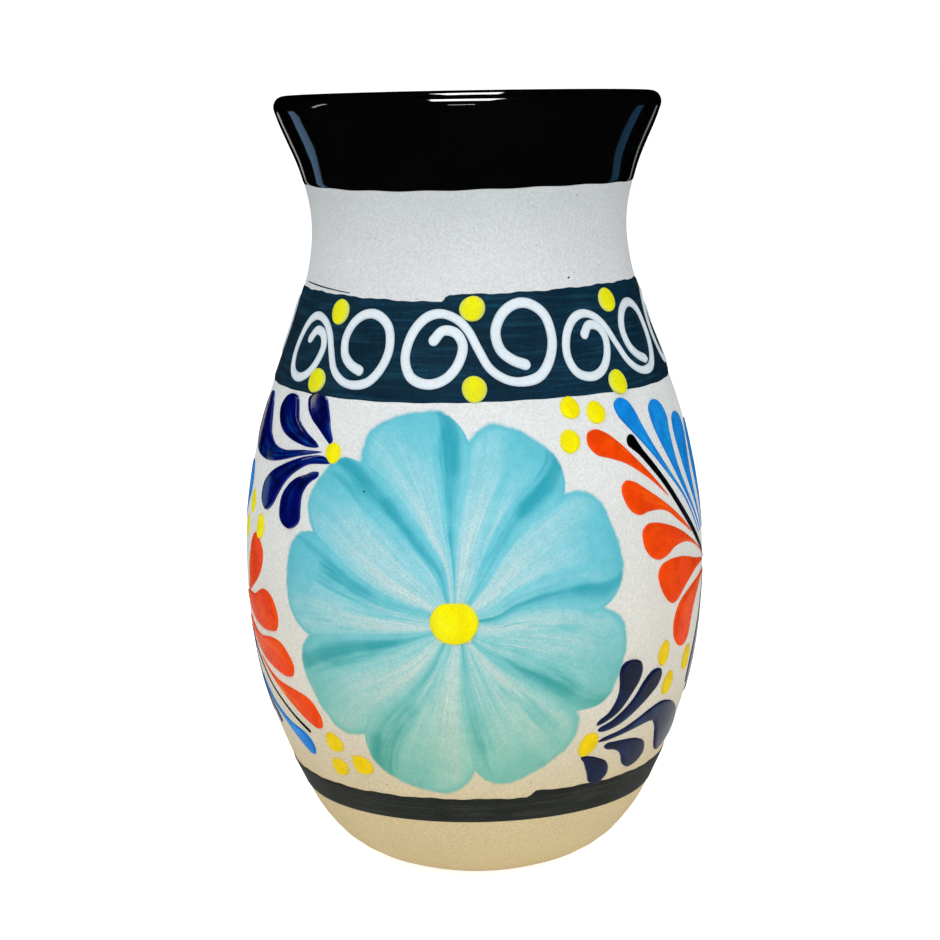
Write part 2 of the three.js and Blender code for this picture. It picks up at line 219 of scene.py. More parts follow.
CAP_ROWS = 6  # rows of vertices in the round end of a piped line
STROKE_RISE = 0.55  # thickness of a brush stroke, a stamen and a yellow dab
STAMEN_RISE = 0.35
DAB_RISE = 0.8
FLANK = 68  # angle from the middle of a side past which everything is painted thin
FLANK_RISE = 0.25
GOLD_BELOW = 65  # the yellow dabs up to this height are a deeper yellow

# The border on the upper band.
BORDER_BASE = 0.2  # it is painted over the band's slip
SCROLL_HEIGHT = 139.5
SCROLL_GIRTH = 47.0
SCROLL_RISE = 0.55
DOT_SIZE = (6.2, 6)
DOT_RISE = 0.9
SCROLL_WIDTHS = [2.6] + [2.4] * 10 + [2.1] * 6 + [2.5] * 10 + [2.6]  # of the piped line, along it
# Each scroll's angle, its size, and how far its left and its right loop sit below the row.
SCROLLS = [(0.5, 1, 0, 0), (47.5, 0.93, 0, 2.3), (97.5, 1.05, 0, 0), (142, 0.76, 0, 0),
           (179, 0.76, 0, 0), (216.5, 0.76, 0, 0), (254, 0.76, 0, 0), (312.5, 0.93, 1.3, 1.9)]
SCROLL_PATH = [
    (-9.6, 1.8), (-7.5, 4), (-4.1, 3.4), (-2.5, 0.7), (-3.4, -3.3), (-6.4, -7), (-10.4, -8.3),
    (-14.6, -6.7), (-16.4, -2.4), (-15.3, 3), (-12.2, 6.8), (-8.4, 8), (-4.2, 6.8), (-1.2, 4.1),
    (1.2, -0.3), (3.8, -4.8), (7.4, -7.4), (11, -8.1), (15.4, -7), (18.6, -3.1), (20, 1.6),
    (19, 6.8), (15.3, 9.7), (11.3, 9.9), (7.5, 7.6), (5.6, 3.6), (6.5, -0.5), (9.1, -2.9),
    (12.2, -4.2),
]
SCROLL_DOTS = {
    "upper": [(0.5, 148.6), (50.2, 148.5), (98, 148.6), (142.5, 148.6), (179.5, 148.6),
              (217, 148.6), (254.5, 148.6), (314, 147)],
    "lower": [(0.6, 130.1), (44.9, 129.2), (97, 130), (141.5, 130), (178.5, 130), (216, 130),
              (253.5, 130), (310.7, 130.4)],
}


# --- The thrown surface ---------------------------------------------------------------------


def clay_stations():
    """Heights and radii of the rings of the frame's clay, up its outside."""
    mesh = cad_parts["clay_body"].data
    rings = {}
    for face in mesh.polygons:
        outward = face.normal.xy.dot(face.center.xy.normalized())
        if outward < 0.1:
            continue
        for index in face.vertices:
            point = mesh.vertices[index].co * 1000
            rings[round(point.z, 1)] = point.xy.length
    heights = sorted(z for z in rings if z < LIP + 1)
    return np.array(heights), np.array([rings[z] for z in heights])


HEIGHTS, RADII = clay_stations()
SLOPES = np.gradient(RADII, HEIGHTS)


def wall(z):
    """Radius of the clay at height z, and its lean dr/dz: a smooth curve through the stations."""
    i = np.clip(np.searchsorted(HEIGHTS, z, side="right") - 1, 0, len(HEIGHTS) - 2)
    span = HEIGHTS[i + 1] - HEIGHTS[i]
    t = (z - HEIGHTS[i]) / span
    out, into = SLOPES[i] * span, SLOPES[i + 1] * span
    rise = RADII[i + 1] - RADII[i]
    square, cube = 3 * rise - 2 * out - into, out + into - 2 * rise
    radius = RADII[i] + t * out + t**2 * square + t**3 * cube
    return radius, (out + 2 * t * square + 3 * t**2 * cube) / span


def wobble(angle, z):
    """How far the thrower's hands left the wall from a true round."""
    turn = np.radians(angle)
    slow = 0.1 * np.sin(2 * turn + z / 60) + 0.06 * np.sin(3 * turn + 2 - z / 35)
    return slow + 0.03 * np.sin(z / 3.1 + 2 * np.sin(turn))


def place(angle, z, lift=0.0):
    """Points of the surface, moved out square to the clay by lift. Metres, last axis x, y, z."""
    angle, z, lift = np.broadcast_arrays(angle, z, lift)
    radius, lean = wall(z)
    out = lift / np.hypot(1, lean)
    return on_axis(angle, radius + wobble(angle, z) + out, z - out * lean)


def on_axis(angle, radius, z):
    turn = np.radians(angle)
    return np.stack([radius * np.sin(turn), -radius * np.cos(turn), z], axis=-1) / 1000


def lip(angle, turn, lift=0.0):
    """Points of the round lip: turn 0 is where it leaves the outside, 180 where it meets the
    inside."""
    angle, turn, lift = np.broadcast_arrays(angle, turn, lift)
    radius, lean = wall(np.full(np.shape(angle), LIP))
    steep = np.hypot(1, lean)
    along = np.radians(turn)
    reach = (WALL / 2 + lift) * np.cos(along) - WALL / 2
    up = (WALL / 2 + lift) * np.sin(along)
    outer = radius + wobble(angle, LIP)
    return on_axis(angle, outer + (reach + up * lean) / steep, LIP + (up - reach * lean) / steep)


# --- Meshes ---------------------------------------------------------------------------------


def grid_faces(rows, columns, offset=0, wrap=False):
    across = columns if wrap else columns - 1
    faces = []
    for row in range(rows - 1):
        for column in range(across):
            a = offset + row * columns + column
            b = offset + row * columns + (column + 1) % columns
            faces.append((a, b, b + columns, a + columns))
    return faces


def piece(name, points, faces, material, shades=None):
    """A closed object of the vase in one material. shades are values for its shader, one per
    vertex."""
    mesh = bpy.data.meshes.new(name)
    mesh.from_pydata(points.reshape(-1, 3).tolist(), [], faces)
    for key, values in (shades or {}).items():
        layer = mesh.attributes.new(key, "FLOAT", "POINT")
        layer.data.foreach_set("value", np.asarray(values, dtype=np.float32).ravel())
    cleaned = bmesh.new()
    cleaned.from_mesh(mesh)
    bmesh.ops.remove_doubles(cleaned, verts=cleaned.verts, dist=2e-6)
    bmesh.ops.recalc_face_normals(cleaned, faces=cleaned.faces)
    cleaned.to_mesh(mesh)
    cleaned.free()
    mesh.shade_smooth()
    mesh.set_sharp_from_angle(angle=math.radians(50))
    mesh.materials.append(MATERIALS[material])
    obj = bpy.data.objects.new(name, mesh)
    bpy.context.collection.objects.link(obj)
    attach(obj, "root")
    return obj


def slab(name, top, bottom, material, shades=None):
    """A closed piece between two grids of points, rows by columns."""
    rows, columns = top.shape[:2]
    layer = rows * columns
    faces = grid_faces(rows, columns) + grid_faces(rows, columns, layer)
    outline = list(range(columns))
    outline += [row * columns + columns - 1 for row in range(1, rows)]
    outline += [(rows - 1) * columns + column for column in range(columns - 2, -1, -1)]
    outline += [row * columns for row in range(rows - 2, 0, -1)]
    for a, b in zip(outline, outline[1:] + outline[:1]):
        faces.append((a, b, layer + b, layer + a))
    doubled = {key: np.stack([values, values]) for key, values in (shades or {}).items()}
    return piece(name, np.stack([top, bottom]), faces, material, doubled)


def turned(name, rings, material, closed=False):
    """A piece that goes all the way round: rings of points from pole to pole, or closed on
    themselves."""
    points = np.stack(rings)
    if closed:
        points = np.concatenate([points, points[:1]])
    rows, columns = points.shape[:2]
    return piece(name, points, grid_faces(rows, columns, wrap=True), material)


def spline(points, steps, closed=False):
    """A smooth curve through points, with steps samples to a span."""
    points = np.array(points, dtype=float)
    if closed:
        points = np.concatenate([points[-2:], points, points[:3]])
    knots = np.concatenate([[0], np.cumsum(np.linalg.norm(np.diff(points, axis=0), axis=1) ** 0.6)])
    slopes = np.gradient(points, knots, axis=0)
    first, last = (2, len(points) - 3) if closed else (0, len(points) - 1)
    samples = []
    for i in range(first, last):
        span = knots[i + 1] - knots[i]
        for t in np.arange(steps) / steps:
            bend = (2 * t**3 - 3 * t**2 + 1) * points[i] + (3 * t**2 - 2 * t**3) * points[i + 1]
            pull = (t**3 - 2 * t**2 + t) * slopes[i] + (t**3 - t**2) * slopes[i + 1]
            samples.append(bend + pull * span)
    samples.append(points[last])
    return np.array(samples)


def smooth(value):
    value = np.clip(value, 0, 1)
    return value * value * (3 - 2 * value)


# --- Materials ------------------------------------------------------------------------------


def colour(code):
    """A linear colour from its usual hex code."""
    shades = [int(code[i : i + 2], 16) / 255 for i in (1, 3, 5)]
    return [c / 12.92 if c < 0.04045 else ((c + 0.055) / 1.055) ** 2.4 for c in shades] + [1]


def add_node(tree, kind, inputs=None, **settings):
    """A shader node whose inputs are values or the outputs of other nodes."""
    made = tree.nodes.new(kind)
    for key, value in settings.items():
        setattr(made, key, value)
    for key, value in (inputs or {}).items():
        if isinstance(value, bpy.types.NodeSocket):
            tree.links.new(value, made.inputs[key])
        else:
            made.inputs[key].default_value = value
    return made


class Finish:
    """A material being built from nodes. Its lengths are millimetres."""

    def __init__(self, name):
        self.material = bpy.data.materials.new(name)
        self.material.use_nodes = True
        self.tree = self.material.node_tree
        self.tree.nodes.clear()
        place_in_metres = self.node("ShaderNodeTexCoord").outputs["Object"]
        self.place = self.scaled(place_in_metres, (1000,) * 3)
        self.height = self.node("ShaderNodeSeparateXYZ", {0: self.place}).outputs["Z"]

    def node(self, kind, inputs=None, **settings):
        return add_node(self.tree, kind, inputs, **settings)

    def shade(self, name):
        """The value stored on the mesh under that name."""
        return self.node("ShaderNodeAttribute", attribute_name=name).outputs["Fac"]

    def math(self, operation, a, b=0.0):
        return self.node("ShaderNodeMath", {0: a, 1: b}, operation=operation).outputs[0]

    def times(self, a, b):
        return self.math("MULTIPLY", a, b)

    def remap(self, value, from_low, from_high, low=0.0, high=1.0, kind="SMOOTHSTEP"):
        inputs = {"Value": value, "From Min": from_low, "From Max": from_high}
        inputs.update({"To Min": low, "To Max": high})
        return self.node("ShaderNodeMapRange", inputs, interpolation_type=kind).outputs[0]

    def mix(self, factor, a, b):
        return self.node("ShaderNodeMix", {0: factor, 6: a, 7: b}, data_type="RGBA").outputs[2]

    def scaled(self, vector, factors):
        inputs = {0: vector, 1: factors}
        return self.node("ShaderNodeVectorMath", inputs, operation="MULTIPLY").outputs[0]

    def noise(self, scale, detail=3.0, vector=None, rough=0.55):
        inputs = {"Vector": vector or self.place, "Scale": scale}
        inputs.update({"Detail": detail, "Roughness": rough})
        return self.node("ShaderNodeTexNoise", inputs).outputs["Fac"]

    def streaks(self, axes, detail, rough=0.55):
        """Noise over three axes, each a value and its scale: the smallest is along the brush."""
        scaled = {i: self.times(value, scale) for i, (value, scale) in enumerate(axes)}
        vector = self.node("ShaderNodeCombineXYZ", scaled).outputs[0]
        return self.noise(1.0, detail, vector, rough)

    def spread(self, noise, low, high, kind="SMOOTHSTEP"):
        """A noise, which mostly keeps between 0.3 and 0.7, spread from low to high."""
        return self.remap(noise, 0.3, 0.7, low, high, kind)

    def tone(self, base, noise, amount):
        """base, darkened and lightened by amount as the noise goes from low to high."""
        level = self.spread(noise, 1 - amount, 1 + amount, "LINEAR")
        inputs = {0: base[:3] if isinstance(base, list) else base, "Scale": level}
        return self.node("ShaderNodeVectorMath", inputs, operation="SCALE").outputs[0]

    def bump(self, height, distance, normal=None):
        """Relief of height 0 to 1 over distance millimetres."""
        inputs = {"Height": height, "Distance": distance / 1000, "Strength": 1.0}
        if normal:
            inputs["Normal"] = normal
        return self.node("ShaderNodeBump", inputs).outputs[0]

    def done(self, base, roughness, normal=None, **inputs):
        settings = {"Base Color": base, "Roughness": roughness}
        if normal:
            settings["Normal"] = normal
        settings.update({key.replace("_", " "): value for key, value in inputs.items()})
        surface = self.node("ShaderNodeBsdfPrincipled", settings).outputs[0]
        self.node("ShaderNodeOutputMaterial", {0: surface})
        return self.material


def clay_tones_with_painted_light(finish):
    """The bare clay: cool and pale at the neck, darkened under the rim by painted shade of its
    flare, warmer and sandier towards the foot, partly the clay's own tone and partly a painted
    warm light bounced up from the table, and with a fine grit.
    """
    ramp = finish.node("ShaderNodeValToRGB", {0: finish.math("DIVIDE", finish.height, 200)})
    # The stops at 0.79 and 0.87 are darker: painted shade under the rim's flare. The warm stops up
    # to 0.27 are partly the clay's own tone and partly a painted warm bounce from the table.
    stops = [(0.02, "#d8c495"), (0.12, "#dac69a"), (0.19, "#dfd2b6"), (0.27, "#e4dfd0"),
             (0.38, "#e6e5dd"), (0.52, "#e7eae8"), (0.66, "#e6eaeb"), (0.79, "#d9dde0"),
             (0.87, "#cbd0d2")]
    for stop, code in stops[2:]:
        ramp.color_ramp.elements.new(stop)
    for element, (stop, code) in zip(ramp.color_ramp.elements, stops):
        element.position = stop
        element.color = colour(code)
    cloudy = finish.tone(ramp.outputs[0], finish.noise(0.06, 3), 0.025)
    gritty = finish.tone(cloudy, finish.noise(1.7, 2), 0.1)
    fleck = finish.remap(finish.noise(0.9, 1), 0.78, 0.8)
    return finish.mix(fleck, gritty, colour("#8f8474"))


def clay_grit(finish, depth):
    return finish.bump(finish.noise(1.9, 3), depth)


def bare_clay():
    finish = Finish("bare_clay")
    rough = finish.spread(finish.noise(0.8), 0.78, 0.92)
    return finish.done(clay_tones_with_painted_light(finish), rough, clay_grit(finish, 0.07), Specular_IOR_Level=0.3)


def slip(name, base, streak, streak_share):
    """A brushed coat of slip: matt, with the brush's streaks going round the vase."""
    finish = Finish(name)
    strokes = finish.noise(1.0, 4, finish.scaled(finish.place, (0.05, 0.05, 1.1)), 0.6)
    grain = finish.noise(2.2, 2)
    bare = finish.remap(strokes, 0.46, 0.68, 0, streak_share)
    brushed = finish.mix(bare, colour(base), colour(streak))
    patchy = finish.tone(brushed, finish.noise(0.09, 3), 0.22)
    grained = finish.tone(patchy, grain, 0.28)
    relief = finish.bump(grain, 0.08, finish.bump(strokes, 0.1))
    rough = finish.spread(strokes, 0.5, 0.66)
    return finish.done(grained, rough, relief, Specular_IOR_Level=0.1)


def glaze(name, base, pool, roughness):
    """Fired glaze: deep, glossy, with a slow unevenness in its surface."""
    finish = Finish(name)
    flow = finish.noise(0.05, 2)
    pooled = finish.mix(finish.remap(flow, 0.35, 0.65), colour(base), colour(pool))
    speckled = finish.tone(pooled, finish.noise(1.2, 2), 0.2)
    relief = finish.bump(flow, 0.25, finish.bump(finish.noise(0.35, 1), 0.012))
    rough = finish.spread(finish.noise(0.4, 2), roughness, roughness + 0.03)
    return finish.done(speckled, rough, relief, Coat_Weight=0.3, Coat_Roughness=0.03)


def enamel(name, base, thin, pool, rim, roughness, thin_share, pool_share, gloss):
    """A raised stroke of enamel: a stored depth of 0 at its edge to 1 over its thick middle, and a
    stored run of 0 at its thin end to 1 at its round end. It is worn to thin near its thin end,
    gathers as pool, and ends in a line of rim."""
    finish = Finish(name)
    depth, run = finish.shade("depth"), finish.shade("run")
    brush = finish.streaks([(finish.shade("across"), 3.2), (run, 1.3), (finish.height, 0.02)], 3)
    worn = finish.times(finish.remap(brush, 0.5, 0.7), finish.remap(run, 0.95, 0.2))
    body = finish.mix(finish.times(worn, thin_share), colour(base), colour(thin))
    pooled = finish.remap(finish.noise(0.2, 2), 0.4, 0.65, 0, pool_share)
    deep = finish.mix(pooled, body, colour(pool))
    # The rim colour rings each edge; in the white enamel it is darker, a painted shadow.
    edged = finish.mix(finish.remap(depth, 0.5, 0.0, 0, 0.75), deep, colour(rim))
    grained = finish.tone(edged, finish.noise(1.6, 2), 0.05)
    relief = finish.bump(finish.noise(0.5, 1), 0.03)
    rough = finish.spread(finish.noise(0.7), roughness, roughness + 0.06)
    return finish.done(grained, rough, relief, Specular_IOR_Level=gloss)


def loaded_side(finish, across, along, rim, brush, cloud):
    """Where the wash is deep: a pool along a petal's clockwise edge, left by the loaded side of
    the brush, its tip, and a tide line near its outer end. Also across, as the brush strayed."""
    strayed = finish.math("ADD", across, finish.spread(brush, -0.16, 0.16, "LINEAR"))
    reach = finish.remap(along, 0.0, 1.0, 0.62, 0.5)
    pool = finish.remap(finish.math("SUBTRACT", strayed, reach), -0.06, 0.36)
    pool = finish.times(pool, finish.remap(across, 0.78, 1.0, 1, 0.25))
    pool = finish.times(pool, finish.remap(finish.noise(0.075, 1), 0.34, 0.6, 0.68, 1))
    tip = finish.times(finish.remap(along, 0.6, 1.0), finish.remap(strayed, 0.0, 0.5))
    second = finish.remap(brush, 0.54, 0.72, 0, 0.45)
    tide = finish.remap(finish.math("ADD", rim, finish.times(cloud, 3)), 5.5, 2, 0, 0.6)
    spread = finish.math("MAXIMUM", finish.times(tip, 0.55), tide)
    return strayed, finish.math("MAXIMUM", finish.math("MAXIMUM", pool, second), spread)


def dry_side(finish, across, along, bristles, strayed, loaded):
    """Where the clay shows through: pale bristle lines dragged out from the eye."""
    near_eye = finish.remap(along, 1.0, 0.25, 0.2, 1)
    faded = finish.times(finish.remap(strayed, 0.62, 0.08), near_eye)
    dragged = finish.remap(along, 1.0, 0.15, 0.3, 1)
    lines = finish.times(finish.remap(bristles, 0.38, 0.7), dragged)
    dry = finish.math("ADD", finish.times(faded, 0.35), finish.times(lines, 0.42))
    dry = finish.times(dry, finish.remap(loaded, 0.45, 0.0, 0.1, 1))
    return finish.times(dry, finish.remap(across, 0.0, 0.14, 0.35, 1))


def turquoise_wash():
    """Translucent petals over the clay. across goes from 0 to 1 clockwise over a petal, along from
    the eye to the tip, and rim is the distance in from the petal's outer end."""
    finish = Finish("turquoise_wash")
    across, along, rim, seed = map(finish.shade, ("across", "along", "rim", "seed"))
    brush = finish.streaks([(across, 4.5), (along, 1.1), (seed, 3.7)], 3, 0.6)
    bristles = finish.streaks([(across, 22), (along, 1.6), (seed, 7.3)], 4, 0.65)
    cloud = finish.noise(0.3, 3)
    strayed, loaded = loaded_side(finish, across, along, rim, brush, cloud)
    dry = dry_side(finish, across, along, bristles, strayed, loaded)
    clay = clay_tones_with_painted_light(finish)
    upper = finish.remap(finish.height, 35, 95)
    light = finish.mix(upper, colour("#9ccfbe"), colour("#84d6e4"))
    rich = finish.mix(upper, colour("#52b3a2"), colour("#34b8cc"))
    pooled = finish.mix(upper, colour("#1f9787"), colour("#009ab0"))
    body = finish.mix(finish.remap(cloud, 0.3, 0.75, 0, 0.3), light, rich)
    wash = finish.mix(finish.times(loaded, 0.8), body, rich)
    wash = finish.mix(finish.remap(loaded, 0.4, 1.0, 0, 0.7), wash, pooled)
    streaked = finish.mix(dry, wash, clay)
    grained = finish.tone(streaked, finish.noise(1.7, 2), 0.055)
    edge = finish.math("ADD", rim, finish.spread(cloud, -0.3, 0.3, "LINEAR"))
    feathered = finish.mix(finish.remap(edge, 0.1, 1.3), clay, grained)
    relief = finish.bump(bristles, 0.03, clay_grit(finish, 0.04))
    rough = finish.spread(finish.noise(0.6), 0.32, 0.45)
    return finish.done(feathered, rough, relief, Specular_IOR_Level=0.2)


# Each enamel's colours (full, thin, pooled and at its rim), its roughness, how much of it is thin
# and how much pooled, and its gloss.
ENAMELS = {
    "yellow_enamel": ("#fcf400", "#fdf83a", "#f4e000", "#eee23a", 0.35, 0.3, 0.6, 0.06),
    "gold_enamel": ("#f8d800", "#f8e62c", "#ecc400", "#e2c43c", 0.35, 0.3, 0.7, 0.06),
    "lemon_enamel": ("#f0ee00", "#f4f448", "#e0e020", "#ccd878", 0.45, 0.3, 0.6, 0.1),
    # The white enamel's darker rim colour is a painted shadow along the edges of its raised lines.
    "white_enamel": ("#e4eff6", "#edf5f9", "#d6e3ec", "#c6d6e2", 0.4, 0.4, 0.3, 0.2),
    "navy_enamel": ("#020a62", "#0f52b4", "#010430", "#1c3590", 0.08, 0.6, 0.8, 0.4),
    "ink_enamel": ("#06163e", "#24487c", "#050a1a", "#1d2c58", 0.12, 0.5, 0.7, 0.2),
    "orange_enamel": ("#ff4a00", "#ff7c12", "#e03600", "#f0581c", 0.25, 0.8, 0.55, 0.06),
    "blue_enamel": ("#0a90ec", "#20b4ea", "#0570c8", "#0a6cc0", 0.25, 0.8, 0.55, 0.1),
    "black_enamel": ("#030304", "#0a0a0c", "#010102", "#0c0c0e", 0.15, 0.3, 0.5, 0.4),
}
# The frame's names for the materials that the painter mixed from one enamel.
MATERIALS = {
    "bare_clay": bare_clay(),
    "slate_slip": slip("slate_slip", "#03293d", "#144a60", 0.5),
    "charcoal_slip": slip("charcoal_slip", "#262a26", "#46463c", 0.5),
    "black_glaze": glaze("black_glaze", "#030404", "#070607", 0.04),
    "inner_glaze": glaze("inner_glaze", "#2b211c", "#1c1512", 0.14),
    "turquoise_wash": turquoise_wash(),
    **{name: enamel(name, *looks) for name, looks in ENAMELS.items()},
}


# --- The vessel and its coats ---------------------------------------------------------------


def clay_body():
    pole = np.zeros(COLUMNS)
    rings = [on_axis(ROUND, pole + radius, pole) for radius in FOOT_RINGS]
    curl = [0.25, 0.8, 1.6, 3, 5, 7.5, 10]
    for z in np.concatenate([curl, np.arange(12.5, LIP, 1.5), [LIP]]):
        rings.append(place(ROUND, z))
    for turn in range(20, 180, 20):
        rings.append(lip(ROUND, turn))
    for z in np.linspace(LIP, BOWL_TOP, 45):
        rings.append(place(ROUND, z, -WALL))
    rings += [bowl(turn, 0) for turn in np.linspace(8, 90, 12)]
    body = turned("clay_body_fine", rings, "bare_clay")
    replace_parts(body, "clay_body")


def bowl(turn, lift):
    """A ring of the inside floor, turn degrees down from its edge to its middle, raised by lift."""
    reach = wall(BOWL_TOP)[0] - WALL - lift
    depth = (BOWL_DEPTH - lift) * math.sin(math.radians(turn))
    pole = np.zeros(COLUMNS)
    return on_axis(ROUND, pole + reach * math.cos(math.radians(turn)), pole + BOWL_TOP - depth)


def band_edge(angle, low, high, start):
    """The height of a hand-painted edge: it drifts as the vase turns, from high down to low, and
    jumps back where the stroke began."""
    share = ((angle - start) % 360) / 360
    drift = high + (low - high) * share + 0.35 * np.sin(2 * math.pi * share * 3 + start)
    blend = smooth(np.minimum(share, 1 - share) * 360 / 1.2)
    turn = np.radians(angle)
    ragged = 0.12 * np.sin(turn * 23 + 1) + 0.07 * np.sin(turn * 57 + start)
    return drift * blend + (1 - blend) * (high + low) / 2 + ragged


def band(node, material, bottom, top):
    """A slip coat between two wavy edges, thin at both."""
    rows = 26
    rings = []
    for row in range(rows + 1):
        share = row / rows
        z = bottom + (top - bottom) * share
        from_edge = np.minimum(z - bottom, top - z)
        swollen = (BAND_THICK - SLIP_EDGE) * smooth(from_edge / 0.8)
        rings.append(place(ROUND_FINE, z, SLIP_EDGE + swollen))
    for row in (rows, rows // 2, 0):
        z = bottom + (top - bottom) * row / rows
        rings.append(place(ROUND_FINE, z, -SINK * 3))
    coat = turned(node + "_fine", rings, material, closed=True)
    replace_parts(coat, node)


def bands():
    turn = np.radians(ROUND_FINE)
    bottom, low, high = UPPER_BAND
    bottom_edge = bottom + 0.15 * np.sin(turn * 4) + 0.06 * np.sin(turn * 31)
    band("upper_band", "slate_slip", bottom_edge, band_edge(ROUND_FINE, low, high, -8))
    bottom, low, high = LOWER_BAND
    bottom_edge = bottom + 0.5 * np.sin(turn * 2 + 1.4)
    band("lower_band", "charcoal_slip", bottom_edge, band_edge(ROUND_FINE, low, high, 15))


def rim_glaze():
    """Black glaze up the outside, thickest at the lip, then over it and down into the throat."""
    around = np.radians(ROUND)
    edge = RIM_GLAZE_LOW + 0.25 * np.sin(around * 3) + 0.1 * np.sin(around * 19)
    body = RIM_GLAZE_THICK - GLAZE_EDGE - GLAZE_ROLL
    rings = []
    for share in np.concatenate([[0, 0.01, 0.02, 0.035, 0.055, 0.08], np.linspace(0.12, 1, 20)]):
        swollen = GLAZE_ROLL * smooth(share / 0.03) + body * smooth(share)
        rings.append(place(ROUND, edge + (LIP - edge) * share, GLAZE_EDGE + swollen))
    for turn in range(15, 180, 15):
        rings.append(lip(ROUND, turn, RIM_GLAZE_THICK))
    for z in np.linspace(LIP, THROAT, 20):
        swollen = RIM_GLAZE_THICK * smooth((z - THROAT) / 2)
        rings.append(place(ROUND, z, -WALL - swollen - SLIP_EDGE))
    for z in np.linspace(THROAT, LIP, 12):
        rings.append(place(ROUND, z, -WALL + SINK))
    for turn in range(150, 0, -30):
        rings.append(lip(ROUND, turn, -SINK))
    for share in np.linspace(1, 0, 8):
        rings.append(place(ROUND, edge + (LIP - edge) * share, -SINK))
    coat = turned("rim_glaze_fine", rings, "black_glaze", closed=True)
    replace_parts(coat, "rim_glaze")


def inner_glaze():
    """Glaze over the inside floor and up the wall to the throat: underside first, then surface."""
    top = THROAT - 0.3
    rings = [bowl(turn, -SINK) for turn in (90, 60, 30, 8)]
    for z in np.linspace(BOWL_TOP, top, 24):
        rings.append(place(ROUND, z, -WALL + SINK))
    for z in np.linspace(top, BOWL_TOP, 48):
        swollen = (INNER_GLAZE_THICK - GLAZE_EDGE) * smooth((THROAT - z) / 1.5)
        rings.append(place(ROUND, z, -WALL - GLAZE_EDGE - swollen))
    rings += [bowl(turn, INNER_GLAZE_THICK) for turn in np.linspace(8, 90, 12)]
    coat = turned("inner_glaze_fine", rings, "inner_glaze")
    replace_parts(coat, "inner_glaze")


# --- The painting ---------------------------------------------------------------------------


def bead(distance, shoulder):
    """Share of its full thickness that enamel has at a distance in from its edge."""
    inside = np.clip(distance / shoulder, 0, 1)
    return np.sqrt(1 - (1 - inside) ** 2)


def between(left, right, columns):
    """Grid of points across from left to right, closer together towards both sides. Returns it
    with the distance in millimetres of each from the nearer side."""
    share = (1 - np.cos(np.linspace(0, math.pi, columns))) / 2
    grid = left[:, None, :] + (right - left)[:, None, :] * share[None, :, None]
    girth = math.radians(1) * wall(grid[..., 1])[0][:, columns // 2]
    width = np.hypot((right - left)[:, 0] * girth, (right - left)[:, 1])
    distance = width[:, None] * np.minimum(share, 1 - share)[None, :]
    return grid, distance, share


def raised(name, left, right, material, rise, turn=0.0, shoulder=1.1, base=0.0, columns=17):
    """A stroke of enamel between two sides of (angle, height) points, from its thin end to its
    round end."""
    grid, distance, share = between(left, right, columns)
    rows = len(grid)
    run = np.repeat(np.linspace(0, 1, rows)[:, None], columns, axis=1)
    full = np.minimum(1, 0.55 + 0.45 * smooth(run))
    swollen = rise * full * bead(distance, shoulder)
    top = place(grid[..., 0] + turn, grid[..., 1], base + GLAZE_EDGE + swollen)
    bottom = place(grid[..., 0] + turn, grid[..., 1], base - SINK)
    shades = {
        "depth": np.clip(distance / shoulder, 0, 1),
        "run": run,
        "across": np.repeat(share[None, :], rows, axis=0) + hash_of(name),
    }
    return slab(name, top, bottom, material, shades)


def hash_of(name):
    """A steady number from a name, so that no two strokes have the same brush marks."""
    return sum(ord(letter) * (i + 3) for i, letter in enumerate(name)) % 97


def sides(outline, steps):
    """The two sides of a closed outline, from its first point to the one half way round it."""
    loop = spline(outline, steps, closed=True)
    half = len(outline) // 2 * steps
    return loop[: half + 1], loop[half:][::-1]


def stroke(name, outline, material, turn, rise):
    left, right = sides(outline, 7)
    return raised(name, left, right, material, rise, turn)


def line(name, path, widths, material, rise, turn=0.0, base=0.0):
    """A piped line along a path of (angle, height) points, with round ends."""
    middle = spline(path, 6)
    spots = np.linspace(0, len(widths) - 1, len(middle))
    half = np.interp(spots, np.arange(len(widths)), widths) / 2
    girth = math.radians(1) * wall(middle[:, 1])[0]
    seat = middle[:, 0].mean()
    flat = np.stack([(middle[:, 0] - seat) * girth, middle[:, 1]], axis=1)
    along = np.gradient(flat, axis=0)
    along /= np.linalg.norm(along, axis=1)[:, None]
    cap = np.radians(np.linspace(90, 15, CAP_ROWS))
    start = [flat[0] - along[0] * half[0] * math.sin(angle) for angle in cap]
    end = [flat[-1] + along[-1] * half[-1] * math.sin(angle) for angle in cap[::-1]]
    centres = np.concatenate([start, flat, end])
    halves = np.concatenate([half[0] * np.cos(cap), half, half[-1] * np.cos(cap[::-1])])
    tangents = np.pad(along, ((CAP_ROWS, CAP_ROWS), (0, 0)), mode="edge")
    girths = np.pad(girth, CAP_ROWS, mode="edge")
    aside = np.stack([-tangents[:, 1], tangents[:, 0]], axis=1) * halves[:, None]
    left, right = centres + aside, centres - aside
    for side in (left, right):
        side[:, 0] = seat + side[:, 0] / girths
    shoulder = max(widths) * 0.45
    return raised(name, left, right, material, rise, turn, shoulder, base, columns=11)


def dab(name, angle, height, wide, tall, tilt, material, rise, base=0.0, lumpy=0.05):
    """A round dab of enamel, a little out of round."""
    clock = np.radians(np.arange(0, 360, 30))
    seed = hash_of(name)
    radius = 1 + lumpy * np.sin(2 * clock + seed) + lumpy * 0.6 * np.sin(3 * clock + seed * 2)
    x, y = np.sin(clock) * wide / 2 * radius, np.cos(clock) * tall / 2 * radius
    lean = math.radians(tilt)
    around = x * math.cos(lean) - y * math.sin(lean)
    up = x * math.sin(lean) + y * math.cos(lean)
    girth = math.radians(1) * float(wall(np.array(float(height)))[0])
    outline = np.stack([angle + around / girth, height + up], axis=1)
    left, right = sides(outline, 5)
    shoulder = min(wide, tall) * 0.42
    return raised(name, left, right, material, rise, shoulder=shoulder, base=base)


